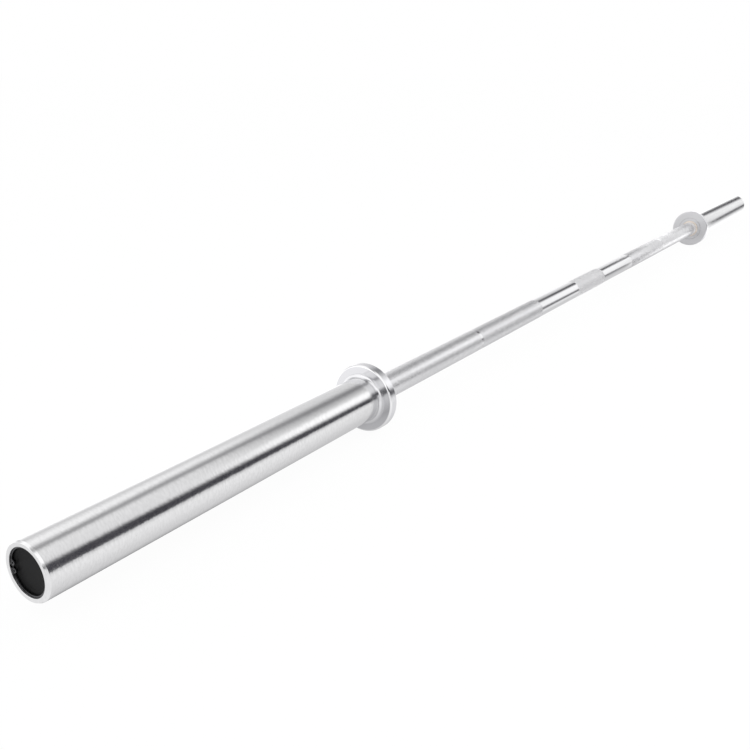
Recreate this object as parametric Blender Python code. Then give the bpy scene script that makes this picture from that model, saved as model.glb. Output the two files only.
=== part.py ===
"""Powerlifting bar: a knurled 29 mm shaft with a turning 50 mm sleeve on each end.

The bar lies along X with its middle at the origin. Each end is built in its own frame:
x runs from the inner face of the stop collar out to the sleeve's mouth.
"""

import math

import bmesh
import bpy
from mathutils import Matrix, Vector

# Driving dimensions in metres

# Whole bar
BAR_LENGTH = 2.200
COLLAR_SPAN = 1.316
CLEARANCE = 0.0003

# Shaft
SHAFT_DIAMETER = 0.029
KNURL_RELIEF = 0.00015
KNURL_RUNOUT = 0.0006
CENTRE_KNURL_LENGTH = 0.120
KNURL_GAP_SPAN = 0.416
RING_MARK_SPACING = 0.810
RING_MARK_WIDTH = 0.005
PLAIN_BAND_AT_COLLAR = 0.017
SHOULDER_CHAMFER = 0.0006
JOURNAL_STEP = 0.002
JOURNAL_FILLET = 0.0008
SHAFT_END_CHAMFER = 0.0012
SHAFT_END_LAND = 0.004
SHAFT_END_GAP = 0.004

# Stop collar, with the raised hub whose fillet runs out onto the sleeve
COLLAR_DIAMETER = 0.0765
COLLAR_THICKNESS = 0.012
COLLAR_EDGE_ROUND = 0.002
COLLAR_BORE_CHAMFER = 0.0005
HUB_RISE = 0.0016
HUB_FILLET = 0.0032
HUB_LAND = 0.0005
HUB_CHAMFER = 0.0003

# Sleeve
SLEEVE_DIAMETER = 0.050
SPIGOT_STEP = 0.0015
SPIGOT_CHAMFER = 0.0005
MOUTH_BEVEL_DEPTH = 0.0011
MOUTH_BEVEL_LENGTH = 0.0022
MOUTH_INNER_CHAMFER = 0.0005

# Bushings
BUSHING_WALL = 0.0032
BUSHING_LENGTH = 0.028
BUSHING_FLANGE_THICKNESS = 0.003
INNER_FLANGE_REACH = 0.0012
OUTER_FLANGE_REACH = 0.0024

# Washers and snap rings on the journal
THRUST_WASHER_THICKNESS = 0.002
SHIM_WASHER_THICKNESS = 0.001
SHIM_WASHER_SETBACK = 0.0012
SNAP_RING_THICKNESS = 0.002
SNAP_RING_GROOVE_DEPTH = 0.0011
SNAP_RING_GROOVE_LAND = 0.0015
SNAP_RING_WIDTH = 0.0034
SNAP_RING_END_WIDTH = 0.0022

# End cap and its circlip
CAP_THICKNESS = 0.004
CAP_SEAT_WIDTH = 0.0015
CAP_EDGE_CHAMFER = 0.0006
CAP_DISH_MARGIN = 0.0035
CAP_DISH_DEPTH = 0.0006
CIRCLIP_SETBACK = 0.0016
CIRCLIP_THICKNESS = 0.0015
CIRCLIP_GROOVE_DEPTH = 0.001
CIRCLIP_WIDTH = 0.0026
CIRCLIP_END_WIDTH = 0.0017

# Lugs of the snap rings and circlips
LUG_RADIUS = 0.0021
LUG_HOLE_DIAMETER = 0.0017
LUG_REACH = 0.0029
RING_GAP = 0.0024
CIRCLIP_GAP_ANGLE = math.radians(185)
INNER_SNAP_GAP_ANGLE = math.radians(90)
OUTER_SNAP_GAP_ANGLE = math.radians(-90)

# Facets round each turned piece
LARGE_SEGMENTS = 40
SMALL_SEGMENTS = 24
RING_SEGMENTS = 18
ARC_STEPS = 3
HOLE_SEGMENTS = 8
LUG_STEPS = 6

# Turns a flat outline so that it faces along X and its angle 0 points along Y
STAND_UPRIGHT = Matrix(((0, 0, 1), (1, 0, 0), (0, 1, 0)))

# Radii that follow from the driving dimensions
shaft_radius = SHAFT_DIAMETER / 2
smooth_radius = shaft_radius - KNURL_RELIEF
journal_radius = shaft_radius - JOURNAL_STEP
bushing_bore = journal_radius + CLEARANCE
bushing_radius = bushing_bore + BUSHING_WALL
sleeve_bore = bushing_radius + CLEARANCE
inner_flange_radius = sleeve_bore + INNER_FLANGE_REACH
chamber_radius = sleeve_bore + OUTER_FLANGE_REACH + CLEARANCE
mouth_radius = chamber_radius + CAP_SEAT_WIDTH
sleeve_radius = SLEEVE_DIAMETER / 2
spigot_radius = sleeve_radius - SPIGOT_STEP
hub_radius = sleeve_radius + HUB_FILLET + HUB_LAND
snap_groove_radius = journal_radius - SNAP_RING_GROOVE_DEPTH
snap_ring_bore = snap_groove_radius + CLEARANCE
circlip_groove_radius = mouth_radius + CIRCLIP_GROOVE_DEPTH
circlip_radius = circlip_groove_radius - CLEARANCE

# Places along one end, from the stop collar's inner face outwards
hub_face = COLLAR_THICKNESS + HUB_RISE
hub_end = hub_face + HUB_FILLET
sleeve_length = (BAR_LENGTH - COLLAR_SPAN) / 2
circlip_front = sleeve_length - CIRCLIP_SETBACK
circlip_back = circlip_front - CIRCLIP_THICKNESS
cap_front = circlip_back - CLEARANCE
cap_back = cap_front - CAP_THICKNESS
cap_seat = cap_back - CLEARANCE
shaft_end = cap_back - SHAFT_END_GAP
outer_snap_front = shaft_end - SHAFT_END_LAND - CLEARANCE
outer_snap_back = outer_snap_front - SNAP_RING_THICKNESS
inner_snap_front = outer_snap_back - SNAP_RING_GROOVE_LAND - 2 * CLEARANCE
inner_snap_back = inner_snap_front - SNAP_RING_THICKNESS
shim_front = inner_snap_back - CLEARANCE
shim_back = shim_front - SHIM_WASHER_THICKNESS
thrust_front = shim_back - CLEARANCE
thrust_back = thrust_front - THRUST_WASHER_THICKNESS
outer_flange_front = thrust_back - CLEARANCE
outer_flange_back = outer_flange_front - BUSHING_FLANGE_THICKNESS
chamber_floor = outer_flange_back - CLEARANCE


def clear_scene():
    for thing in list(bpy.data.objects):
        bpy.data.objects.remove(thing, do_unlink=True)


def finish(name, colour, roughness, metallic):
    """A plain Principled BSDF material."""
    material = bpy.data.materials.new(name)
    material.use_nodes = True
    shader = material.node_tree.nodes["Principled BSDF"]
    shader.inputs["Base Color"].default_value = (*colour, 1.0)
    shader.inputs["Roughness"].default_value = roughness
    shader.inputs["Metallic"].default_value = metallic
    material.diffuse_color = (*colour, 1.0)
    return material


def place(thing, parent, x=0.0):
    """Adds the object to the scene, x metres along its parent's axis."""
    bpy.context.scene.collection.objects.link(thing)
    thing.parent = parent
    thing.location = (x, 0.0, 0.0)
    return thing


def empty(name, parent=None, x=0.0, turn=0.0):
    frame = place(bpy.data.objects.new(name, None), parent, x)
    frame.rotation_euler.z = turn
    frame.empty_display_size = 0.05
    return frame


def arc(x, r, radius, start, end):
    """Points of an arc round (x, r), by angles in degrees from +x towards +r."""
    angles = [start + (end - start) * step / ARC_STEPS for step in range(ARC_STEPS + 1)]
    return [
        (x + radius * math.cos(math.radians(a)), r + radius * math.sin(math.radians(a)))
        for a in angles
    ]


def turned_mesh(name, profile, segments):
    """Spins a profile of (x, r) points round the X axis.

    A profile that starts and ends on the axis gives a solid, any other is closed into a ring.
    """
    on_axis = profile[0][1] == 0
    half_facet = Vector((0.0, math.sin(math.pi / segments), math.cos(math.pi / segments)))
    bm = bmesh.new()
    points = [bm.verts.new(half_facet * r + Vector((x, 0.0, 0.0))) for x, r in profile]
    ends = points if on_axis else points + points[:1]
    lines = [bm.edges.new(pair) for pair in zip(ends, ends[1:])]
    bmesh.ops.spin(
        bm,
        geom=points + lines,
        cent=(0.0, 0.0, 0.0),
        axis=(1.0, 0.0, 0.0),
        angle=2 * math.pi,
        steps=segments,
        use_merge=True,
    )
    bmesh.ops.remove_doubles(bm, verts=bm.verts, dist=1e-7)
    bmesh.ops.recalc_face_normals(bm, faces=bm.faces)
    mesh = bpy.data.meshes.new(name)
    bm.to_mesh(mesh)
    bm.free()
    mesh.shade_smooth()
    mesh.set_sharp_from_angle(angle=math.radians(30))
    return mesh


def turned(name, profile, material, parent, segments=LARGE_SEGMENTS):
    mesh = turned_mesh(name, profile, segments)
    mesh.materials.append(material)
    return place(bpy.data.objects.new(name, mesh), parent)


def knurled_bands():
    """Start and end of each knurled band on one half of the shaft."""
    mark = RING_MARK_SPACING / 2
    last = COLLAR_SPAN / 2 - PLAIN_BAND_AT_COLLAR
    return [
        (KNURL_GAP_SPAN / 2, mark - RING_MARK_WIDTH / 2),
        (mark + RING_MARK_WIDTH / 2, last),
    ]


def grip_profile():
    """One half of the grip: knurled bands stand proud of the plain ones."""
    middle = CENTRE_KNURL_LENGTH / 2
    points = [(middle - KNURL_RUNOUT, shaft_radius), (middle, smooth_radius)]
    for start, end in knurled_bands():
        points += [
            (start, smooth_radius),
            (start + KNURL_RUNOUT, shaft_radius),
            (end - KNURL_RUNOUT, shaft_radius),
            (end, smooth_radius),
        ]
    return points


def journal_profile():
    """The turned-down end: shoulder, root fillet, two snap ring grooves and end chamfer."""
    face = COLLAR_SPAN / 2
    shoulder = face - CLEARANCE
    points = [
        (shoulder - SHOULDER_CHAMFER, smooth_radius),
        (shoulder, smooth_radius - SHOULDER_CHAMFER),
    ]
    fillet = (shoulder + JOURNAL_FILLET, journal_radius + JOURNAL_FILLET)
    points += arc(*fillet, JOURNAL_FILLET, 180, 270)
    for back, front in (
        (inner_snap_back, inner_snap_front),
        (outer_snap_back, outer_snap_front),
    ):
        start = face + back - CLEARANCE
        end = face + front + CLEARANCE
        points += [
            (start, journal_radius),
            (start, snap_groove_radius),
            (end, snap_groove_radius),
            (end, journal_radius),
        ]
    tip = face + shaft_end
    points += [
        (tip - SHAFT_END_CHAMFER, journal_radius),
        (tip, journal_radius - SHAFT_END_CHAMFER),
        (tip, 0.0),
    ]
    return points


def make_shaft(parent):
    half = grip_profile() + journal_profile()
    profile = [(-x, r) for x, r in reversed(half)] + half
    steel = finish("shaft_steel", (0.68, 0.68, 0.69), 0.28, 1.0)
    return turned("shaft", profile, steel, parent)


def collar_profile():
    """Ring with rounded rims, bored to slide onto the sleeve's spigot, with a filleted hub."""
    radius = COLLAR_DIAMETER / 2
    bore = spigot_radius + CLEARANCE
    edge = COLLAR_EDGE_ROUND
    profile = [(0.0, bore + COLLAR_BORE_CHAMFER)]
    profile += arc(edge, radius - edge, edge, 180, 90)
    profile += arc(COLLAR_THICKNESS - edge, radius - edge, edge, 90, 0)
    profile += [
        (COLLAR_THICKNESS, hub_radius),
        (hub_face - HUB_CHAMFER, hub_radius),
        (hub_face, hub_radius - HUB_CHAMFER),
    ]
    profile += arc(hub_end, sleeve_radius + HUB_FILLET, HUB_FILLET, 180, 270)
    profile += [(hub_end, bore), (COLLAR_BORE_CHAMFER, bore)]
    return profile


def sleeve_outside():
    """Spigot for the collar, the step it seats on, the plate post and the mouth bevel."""
    return [
        (0.0, spigot_radius - SPIGOT_CHAMFER),
        (SPIGOT_CHAMFER, spigot_radius),
        (hub_end + CLEARANCE, spigot_radius),
        (hub_end + CLEARANCE, sleeve_radius),
        (sleeve_length - MOUTH_BEVEL_LENGTH, sleeve_radius),
        (sleeve_length - MOUTH_BEVEL_LENGTH / 3, sleeve_radius - MOUTH_BEVEL_DEPTH / 2),
        (sleeve_length, sleeve_radius - MOUTH_BEVEL_DEPTH),
    ]


def sleeve_inside():
    """From the mouth inwards: circlip groove, cap seat, chamber, bore and flange recess."""
    recess = BUSHING_FLANGE_THICKNESS + CLEARANCE
    return [
        (sleeve_length, mouth_radius + MOUTH_INNER_CHAMFER),
        (sleeve_length - MOUTH_INNER_CHAMFER, mouth_radius),
        (circlip_front + CLEARANCE, mouth_radius),
        (circlip_front + CLEARANCE, circlip_groove_radius),
        (circlip_back - CLEARANCE, circlip_groove_radius),
        (circlip_back - CLEARANCE, mouth_radius),
        (cap_seat, mouth_radius),
        (cap_seat, chamber_radius),
        (chamber_floor, chamber_radius),
        (chamber_floor, sleeve_bore),
        (recess, sleeve_bore),
        (recess, inner_flange_radius + CLEARANCE),
        (0.0, inner_flange_radius + CLEARANCE),
    ]


def bushing_profile(flange_radius, flange_start, direction):
    """Flanged bushing whose body runs from its flange in the given direction along x."""
    body_start = flange_start + direction * BUSHING_FLANGE_THICKNESS
    body_end = body_start + direction * BUSHING_LENGTH
    lead = direction * JOURNAL_FILLET
    return [
        (flange_start, bushing_bore + JOURNAL_FILLET),
        (flange_start, flange_radius),
        (body_start, flange_radius),
        (body_start, bushing_radius),
        (body_end - lead, bushing_radius),
        (body_end, bushing_radius - JOURNAL_FILLET),
        (body_end, bushing_bore),
        (flange_start + lead, bushing_bore),
    ]


def washer_profile(back, front, radius):
    return [(back, bushing_bore), (back, radius), (front, radius), (front, bushing_bore)]


def cap_profile():
    """Disc with a chamfered edge and a shallow dish inside its rim."""
    radius = mouth_radius - CLEARANCE
    dish = radius - CAP_DISH_MARGIN
    return [
        (cap_back, 0.0),
        (cap_back, radius),
        (cap_front - CAP_EDGE_CHAMFER, radius),
        (cap_front, radius - CAP_EDGE_CHAMFER),
        (cap_front, dish),
        (cap_front - CAP_DISH_DEPTH, dish - CAP_DISH_DEPTH),
        (cap_front - CAP_DISH_DEPTH, 0.0),
    ]


def eccentric(radius, offset, angle):
    """Distance from the origin to a circle whose centre is offset along angle 0."""
    return offset * math.cos(angle) + math.sqrt(radius**2 - (offset * math.sin(angle)) ** 2)


def lug_edge(lug_centre, angle, outward):
    """Distance from the origin to the lug's round end at this angle, or None beside it."""
    swing = lug_centre * math.sin(angle)
    if abs(swing) >= LUG_RADIUS:
        return None
    half_chord = math.sqrt(LUG_RADIUS**2 - swing**2)
    return lug_centre * math.cos(angle) + (half_chord if outward else -half_chord)


def ring_edges(edge, width, end_width, outward):
    """Free edge of a stamped ring as (r, angle) points, and the angle of each lug's centre.

    The edge is the radius that sits in the groove. The ring grows outwards from it on a shaft,
    or inwards in a bore, and tapers from its back to the two lugs beside its gap.
    """
    sign = 1 if outward else -1
    free_radius = edge + sign * (width + end_width) / 2
    offset = -sign * (width - end_width) / 2
    lug_centre = edge + sign * LUG_REACH
    lug_swing = math.asin(LUG_RADIUS / lug_centre)
    lug_angle = math.asin(RING_GAP / 2 / lug_centre) + lug_swing
    gap_edge = lug_angle - lug_swing
    lug_end = lug_angle + lug_swing
    lug_angles = [gap_edge + 2 * lug_swing * step / LUG_STEPS for step in range(LUG_STEPS)]
    back_angles = [
        lug_end + 2 * (math.pi - lug_end) * step / RING_SEGMENTS
        for step in range(RING_SEGMENTS + 1)
    ]
    far_angles = [2 * math.pi - angle for angle in reversed(lug_angles)]
    free_edge = []
    for angle in lug_angles + back_angles + far_angles:
        r = eccentric(free_radius, offset, angle)
        for lug in (lug_angle, -lug_angle):
            reach = lug_edge(lug_centre, angle - lug, outward)
            if reach is not None:
                r = max(r, reach) if outward else min(r, reach)
        free_edge.append((r, angle))
    return free_edge, lug_centre, (lug_angle, -lug_angle)


def polar(r, angle):
    return Vector((r * math.cos(angle), r * math.sin(angle), 0.0))


def strip_mesh(name, seat_radius, free_edge, thickness):
    """Flat strip between the seat and the free edge, thickened along its own Z."""
    bm = bmesh.new()
    rungs = [
        (bm.verts.new(polar(seat_radius, angle)), bm.verts.new(polar(r, angle)))
        for r, angle in free_edge
    ]
    faces = [bm.faces.new((a[0], a[1], b[1], b[0])) for a, b in zip(rungs, rungs[1:])]
    lifted = bmesh.ops.extrude_face_region(bm, geom=faces)["geom"]
    corners = [item for item in lifted if isinstance(item, bmesh.types.BMVert)]
    bmesh.ops.translate(bm, verts=corners, vec=(0.0, 0.0, thickness))
    bmesh.ops.recalc_face_normals(bm, faces=bm.faces)
    mesh = bpy.data.meshes.new(name)
    bm.to_mesh(mesh)
    bm.free()
    return mesh


def hole_cutter(name, lug_centre, lug_angles, thickness):
    """Two plugs that cut the plier holes through the lugs."""
    bm = bmesh.new()
    for angle in lug_angles:
        middle = polar(lug_centre, angle) + Vector((0.0, 0.0, thickness / 2))
        bmesh.ops.create_cone(
            bm,
            cap_ends=True,
            segments=HOLE_SEGMENTS,
            radius1=LUG_HOLE_DIAMETER / 2,
            radius2=LUG_HOLE_DIAMETER / 2,
            depth=2 * thickness,
            matrix=Matrix.Translation(middle),
        )
    mesh = bpy.data.meshes.new(name)
    bm.to_mesh(mesh)
    bm.free()
    cutter = bpy.data.objects.new(name, mesh)
    cutter.hide_render = True
    cutter.display_type = "WIRE"
    return cutter


def retaining_ring(name, seat_radius, widths, outward, thickness, material, parent, back, turn):
    """Stamped ring with a plier hole in each lug, its inboard face at back."""
    free_edge, lug_centre, lug_angles = ring_edges(seat_radius, *widths, outward)
    mesh = strip_mesh(name, seat_radius, free_edge, thickness)
    mesh.materials.append(material)
    ring = place(bpy.data.objects.new(name, mesh), parent, back)
    ring.rotation_euler = (Matrix.Rotation(turn, 3, "X") @ STAND_UPRIGHT).to_euler()
    cutter = place(hole_cutter(f"{name}_holes", lug_centre, lug_angles, thickness), ring)
    drill = ring.modifiers.new("plier_holes", "BOOLEAN")
    drill.operation = "DIFFERENCE"
    drill.object = cutter
    return ring


def make_shaft_side(side, steels, frame):
    """What each end of the shaft carries: two washers and two snap rings in their grooves."""
    washer_steel, spring_steel = steels
    turned(
        f"{side}_thrust_washer",
        washer_profile(thrust_back, thrust_front, chamber_radius - CLEARANCE),
        washer_steel,
        frame,
        SMALL_SEGMENTS,
    )
    turned(
        f"{side}_shim_washer",
        washer_profile(shim_back, shim_front, chamber_radius - SHIM_WASHER_SETBACK),
        washer_steel,
        frame,
        SMALL_SEGMENTS,
    )
    for which, back, gap_angle in (
        ("inner", inner_snap_back, INNER_SNAP_GAP_ANGLE),
        ("outer", outer_snap_back, OUTER_SNAP_GAP_ANGLE),
    ):
        retaining_ring(
            f"{side}_{which}_snap_ring",
            snap_ring_bore,
            (SNAP_RING_WIDTH, SNAP_RING_END_WIDTH),
            True,
            SNAP_RING_THICKNESS,
            spring_steel,
            frame,
            back,
            gap_angle,
        )


def make_sleeve_side(side, finishes, frame):
    """The turning assembly: sleeve, stop collar, both bushings, end cap and its circlip."""
    chrome, collar_chrome, bronze, cap_black, spring_steel = finishes
    turned(f"{side}_sleeve", sleeve_outside() + sleeve_inside(), chrome, frame)
    turned(f"{side}_stop_collar", collar_profile(), collar_chrome, frame)
    turned(
        f"{side}_inner_bushing",
        bushing_profile(inner_flange_radius, 0.0, 1),
        bronze,
        frame,
        SMALL_SEGMENTS,
    )
    turned(
        f"{side}_outer_bushing",
        bushing_profile(chamber_radius - CLEARANCE, outer_flange_front, -1),
        bronze,
        frame,
        SMALL_SEGMENTS,
    )
    turned(f"{side}_end_cap", cap_profile(), cap_black, frame)
    retaining_ring(
        f"{side}_cap_circlip",
        circlip_radius,
        (CIRCLIP_WIDTH, CIRCLIP_END_WIDTH),
        False,
        CIRCLIP_THICKNESS,
        spring_steel,
        frame,
        circlip_back,
        CIRCLIP_GAP_ANGLE,
    )


def main():
    clear_scene()
    bar = empty("bar")
    make_shaft(bar)
    chrome = finish("sleeve_chrome", (0.80, 0.80, 0.81), 0.14, 1.0)
    collar_chrome = finish("collar_chrome", (0.78, 0.78, 0.80), 0.12, 1.0)
    bronze = finish("bushing_bronze", (0.8, 0.7, 0.59), 0.35, 1.0)
    cap_black = finish("cap_black", (0.025, 0.025, 0.027), 0.5, 0.0)
    washer_steel = finish("washer_steel", (0.55, 0.55, 0.56), 0.35, 1.0)
    spring_steel = finish("ring_spring_steel", (0.12, 0.12, 0.13), 0.35, 1.0)
    for side, direction in (("left", -1), ("right", 1)):
        turn = 0.0 if direction == 1 else math.pi
        end = empty(f"{side}_end", bar, direction * COLLAR_SPAN / 2, turn)
        make_shaft_side(side, (washer_steel, spring_steel), end)
        axis = empty(f"{side}_sleeve_axis", end)
        finishes = (chrome, collar_chrome, bronze, cap_black, spring_steel)
        make_sleeve_side(side, finishes, axis)


main()
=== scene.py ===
# Powerlifting bar: fine turned shapes, plated finishes and the studio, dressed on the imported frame.
import math

import bmesh
import bpy
from mathutils import Matrix, Vector


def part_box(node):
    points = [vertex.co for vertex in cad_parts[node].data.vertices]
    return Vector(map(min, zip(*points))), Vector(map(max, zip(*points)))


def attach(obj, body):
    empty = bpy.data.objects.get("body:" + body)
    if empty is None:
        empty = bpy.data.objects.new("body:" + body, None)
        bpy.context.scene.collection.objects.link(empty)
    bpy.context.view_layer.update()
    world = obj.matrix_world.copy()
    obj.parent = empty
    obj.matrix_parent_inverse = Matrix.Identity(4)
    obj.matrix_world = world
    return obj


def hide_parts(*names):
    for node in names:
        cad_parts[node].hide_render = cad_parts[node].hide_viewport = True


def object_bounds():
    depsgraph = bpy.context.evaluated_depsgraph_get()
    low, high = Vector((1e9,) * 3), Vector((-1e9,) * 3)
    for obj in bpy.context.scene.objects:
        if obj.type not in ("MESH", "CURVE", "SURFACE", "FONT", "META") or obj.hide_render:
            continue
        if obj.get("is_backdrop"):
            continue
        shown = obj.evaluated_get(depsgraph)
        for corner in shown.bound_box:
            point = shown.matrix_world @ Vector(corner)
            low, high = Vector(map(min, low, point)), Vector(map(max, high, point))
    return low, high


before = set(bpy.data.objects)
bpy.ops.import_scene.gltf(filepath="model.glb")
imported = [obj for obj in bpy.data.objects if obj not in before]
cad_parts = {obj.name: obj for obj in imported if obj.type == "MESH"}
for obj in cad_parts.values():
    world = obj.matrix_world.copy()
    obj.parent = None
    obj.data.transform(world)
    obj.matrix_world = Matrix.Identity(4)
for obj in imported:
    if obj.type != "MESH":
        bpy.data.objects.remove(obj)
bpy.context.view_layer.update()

scene = bpy.context.scene
print("frame loaded,", len(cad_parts), "solids")

# everything below is in metres, x runs along the bar, and each end of the bar is drawn
# from the inner face of its stop collar outwards
play = 0.0003    # air between pieces that slide or seat
millimetre = 0.001


# Node maths

class Wire:
    # wraps one socket, so shader maths reads as plain arithmetic
    def __init__(self, tree, socket=None):
        self.tree = tree
        self.socket = socket

    def add(self, kind, settings=None, inputs=None, output=0):
        made = self.tree.nodes.new("ShaderNode" + kind)
        for name, value in (settings or {}).items():
            if name == "stops":
                ramp = made.color_ramp.elements
                ramp.remove(ramp[1])
                ramp[0].position, ramp[0].color = value[0]
                for position, colour in value[1:]:
                    ramp.new(position).color = colour
            else:
                setattr(made, name, value)
        for name, value in (inputs or {}).items():
            if isinstance(value, Wire):
                self.tree.links.new(value.socket, made.inputs[name])
            else:
                made.inputs[name].default_value = value
        return Wire(self.tree, made.outputs[output]) if len(made.outputs) else None

    def math(self, operation, first, second):
        return self.add("Math", {"operation": operation}, {0: first, 1: second})

    def __add__(self, other):
        return self.math("ADD", self, other)

    def __radd__(self, other):
        return self.math("ADD", other, self)

    def __sub__(self, other):
        return self.math("SUBTRACT", self, other)

    def __rsub__(self, other):
        return self.math("SUBTRACT", other, self)

    def __mul__(self, other):
        return self.math("MULTIPLY", self, other)

    def __rmul__(self, other):
        return self.math("MULTIPLY", other, self)

    def __truediv__(self, other):
        return self.math("DIVIDE", self, other)

    def __or__(self, other):
        return self.math("MAXIMUM", self, other)


def blank(name):
    # an empty material and the wire that grows its nodes
    mat = bpy.data.materials.new(name)
    mat.use_nodes = True
    mat.node_tree.nodes.clear()
    return mat, Wire(mat.node_tree)


def noise(net, where, detail, rough=0.5):
    inputs = {"Vector": where, "Scale": 1.0, "Detail": detail, "Roughness": rough}
    return net.add("TexNoise", {"noise_dimensions": "3D"}, inputs)


def stretched(net, where, scales):
    # the place on the piece, scaled by cells per metre along each axis
    return net.add("VectorMath", {"operation": "MULTIPLY"}, {0: where, 1: scales})


def blend(net, mask, first, second):
    # the second colour where the mask is 1; either one is a wire or three numbers
    first, second = ((*c, 1) if isinstance(c, tuple) else c for c in (first, second))
    return net.add("Mix", {"data_type": "RGBA"}, {0: mask, 6: first, 7: second}, 2)


def ramped(net, value, low, high, curve="LINEAR"):
    # 0 up to low, 1 from high on
    return net.add("MapRange", {"clamp": True, "interpolation_type": curve},
                   {"Value": value, "From Min": low, "From Max": high})


def eased(net, value, low, high):
    return ramped(net, value, low, high, "SMOOTHSTEP")


def alongBar(net, where):
    return net.add("SeparateXYZ", None, {0: where}, "X")


def offAxis(net, where):
    # distance from the bar's axis
    return net.add("VectorMath", {"operation": "LENGTH"}, {0: stretched(net, where, (0, 1, 1))},
                   "Value")


def ringPlace(net, where, scale):
    # a place that only changes along the axis and outwards, for marks left by turning
    x, y = alongBar(net, where) * scale, offAxis(net, where) * scale
    return net.add("CombineXYZ", None, {"X": x, "Y": y})


def finishOff(net, mat, shader):
    net.add("OutputMaterial", None, {"Surface": shader})
    return mat


def surfaced(net, mat, height, sockets):
    # the relief is a height in millimetres
    bump = net.add("Bump", None, {"Strength": 1.0, "Distance": millimetre, "Height": height})
    return finishOff(net, mat, net.add("BsdfPrincipled", None, {**sockets, "Normal": bump}))


def platedMetal(name, look):
    # turned and plated: feed marks round the axis, short grain across it, mottled gloss
    mat, net = blank(name)
    where = net.add("TexCoord", None, None, "Object")
    feed = noise(net, ringPlace(net, where, look["feedPerMetre"]), 3.0)
    grain = noise(net, stretched(net, where, look["grainPerMetre"]), 2.0)
    cloud = noise(net, stretched(net, where, look["cloudPerMetre"]), 3.0)
    along = net.math("ABSOLUTE", alongBar(net, where), 0.0)
    colour = blend(net, cloud, look["dark"], look["light"])
    gloss = look["roughness"] + look["mottle"] * (cloud - 0.5) + look["grainGloss"] * (grain - 0.5)
    metal = 1.0
    if "fleckColour" in look:     # short marks across the axis, a shade darker
        colour = blend(net, ramped(net, grain, *look["fleckRange"]), colour, look["fleckColour"])
    if "satinFade" in look:     # the face towards the grip is left as turned
        satin = 1 - ramped(net, along, *look["satinFade"])
        gloss = gloss + look["satinMore"] * satin
        colour = blend(net, satin, colour, look["satinColour"])
    if "groundFade" in look:     # ground, not polished, from here outwards, and painted paler and less metallic as a painted highlight
        ground = ramped(net, along, *look["groundFade"])
        gloss = gloss + look["groundMore"] * ground
        colour = blend(net, ground, colour, look["groundHighlightColour"])
        metal = 1 - look["groundHighlightPale"] * ground
    if "rimFade" in look:     # painted shade darkens the turned face outside, less on its hub; the rim is satin; a painted highlight lightens the edge rounding
        radius = offAxis(net, where)
        past = ramped(net, along, *look["rimEnd"])
        gloss = gloss + look["rimMore"] * ramped(net, radius, *look["rimFade"]) * (1 - past)
        out = ramped(net, along, *look["faceFade"])
        hub = 1 - ramped(net, radius, *look["hubFade"])
        edge = ramped(net, radius, *look["edgeHighlightFade"]) * past
        # painted shade: the outer face darker than its plating, its hub less so
        colour = blend(net, out, colour, look["faceShadeColour"])
        colour = blend(net, out * hub, colour, look["hubColour"])
        # painted highlight: the rounded edge paler than the plating
        colour = blend(net, edge, colour, look["edgeHighlightColour"])
    return surfaced(net, mat, feed * look["feedHeight"] + grain * look["grainHeight"],
                    {"Base Color": colour, "Metallic": metal, "Roughness": gloss})


# a fade gives the metres along the bar, or off its axis, over which one finish, painted shade or
# painted highlight becomes the next
finishes = {
    "sleeve": {
        "dark": (0.79, 0.79, 0.79), "light": (0.84, 0.84, 0.84),
        "roughness": 0.16, "mottle": 0.07, "grainGloss": 0.10,
        "fleckRange": (0.36, 0.64), "fleckColour": (0.775, 0.775, 0.775),
        "satinFade": (0.6583, 0.6591), "satinMore": 0.23, "satinColour": (0.69, 0.69, 0.70),
        "feedPerMetre": 900, "feedHeight": 0.006,
        "grainPerMetre": (560, 250, 250), "grainHeight": 0.085,
        "cloudPerMetre": (26, 60, 60),
    },
    "collar": {
        "dark": (0.775, 0.775, 0.79), "light": (0.82, 0.82, 0.83),
        "roughness": 0.11, "mottle": 0.05, "grainGloss": 0.03,
        "satinFade": (0.6583, 0.6591), "satinMore": 0.28, "satinColour": (0.69, 0.69, 0.70),
        "rimFade": (0.0368, 0.0378), "rimEnd": (0.6672, 0.6682), "rimMore": 0.10,
        # painted shade on the outer face, and a painted highlight on its edge rounding
        "faceFade": (0.6689, 0.6697), "faceShadeColour": (0.66, 0.66, 0.675),
        "hubFade": (0.0286, 0.0290), "hubColour": (0.77, 0.77, 0.78),
        "edgeHighlightFade": (0.0362, 0.0366), "edgeHighlightColour": (0.88, 0.88, 0.885),
        "feedPerMetre": 1500, "feedHeight": 0.004,
        "grainPerMetre": (260, 260, 260), "grainHeight": 0.004,
        "cloudPerMetre": (60, 60, 60),
    },
    "shaft": {
        "dark": (0.78, 0.78, 0.785), "light": (0.83, 0.83, 0.835),
        "roughness": 0.12, "mottle": 0.05, "grainGloss": 0.04,
        # the band by the collar: ground and rougher, and painted paler as a painted highlight
        "groundFade": (0.6408, 0.6412), "groundMore": 0.34,
        "groundHighlightColour": (0.90, 0.90, 0.905), "groundHighlightPale": 0.35,
        "feedPerMetre": 1100, "feedHeight": 0.003,
        "grainPerMetre": (500, 150, 150), "grainHeight": 0.006,
        "cloudPerMetre": (22, 70, 70),
    },
    "washer": {
        "dark": (0.47, 0.47, 0.48), "light": (0.58, 0.58, 0.585),
        "roughness": 0.34, "mottle": 0.12, "grainGloss": 0.08,
        "feedPerMetre": 1800, "feedHeight": 0.010,
        "grainPerMetre": (500, 500, 500), "grainHeight": 0.010,
        "cloudPerMetre": (120, 120, 120),
    },
    "spring": {
        "dark": (0.05, 0.05, 0.053), "light": (0.11, 0.11, 0.114),
        "roughness": 0.30, "mottle": 0.16, "grainGloss": 0.10,
        "feedPerMetre": 900, "feedHeight": 0.0,
        "grainPerMetre": (900, 900, 900), "grainHeight": 0.012,
        "cloudPerMetre": (160, 160, 160),
    },
}


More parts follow.
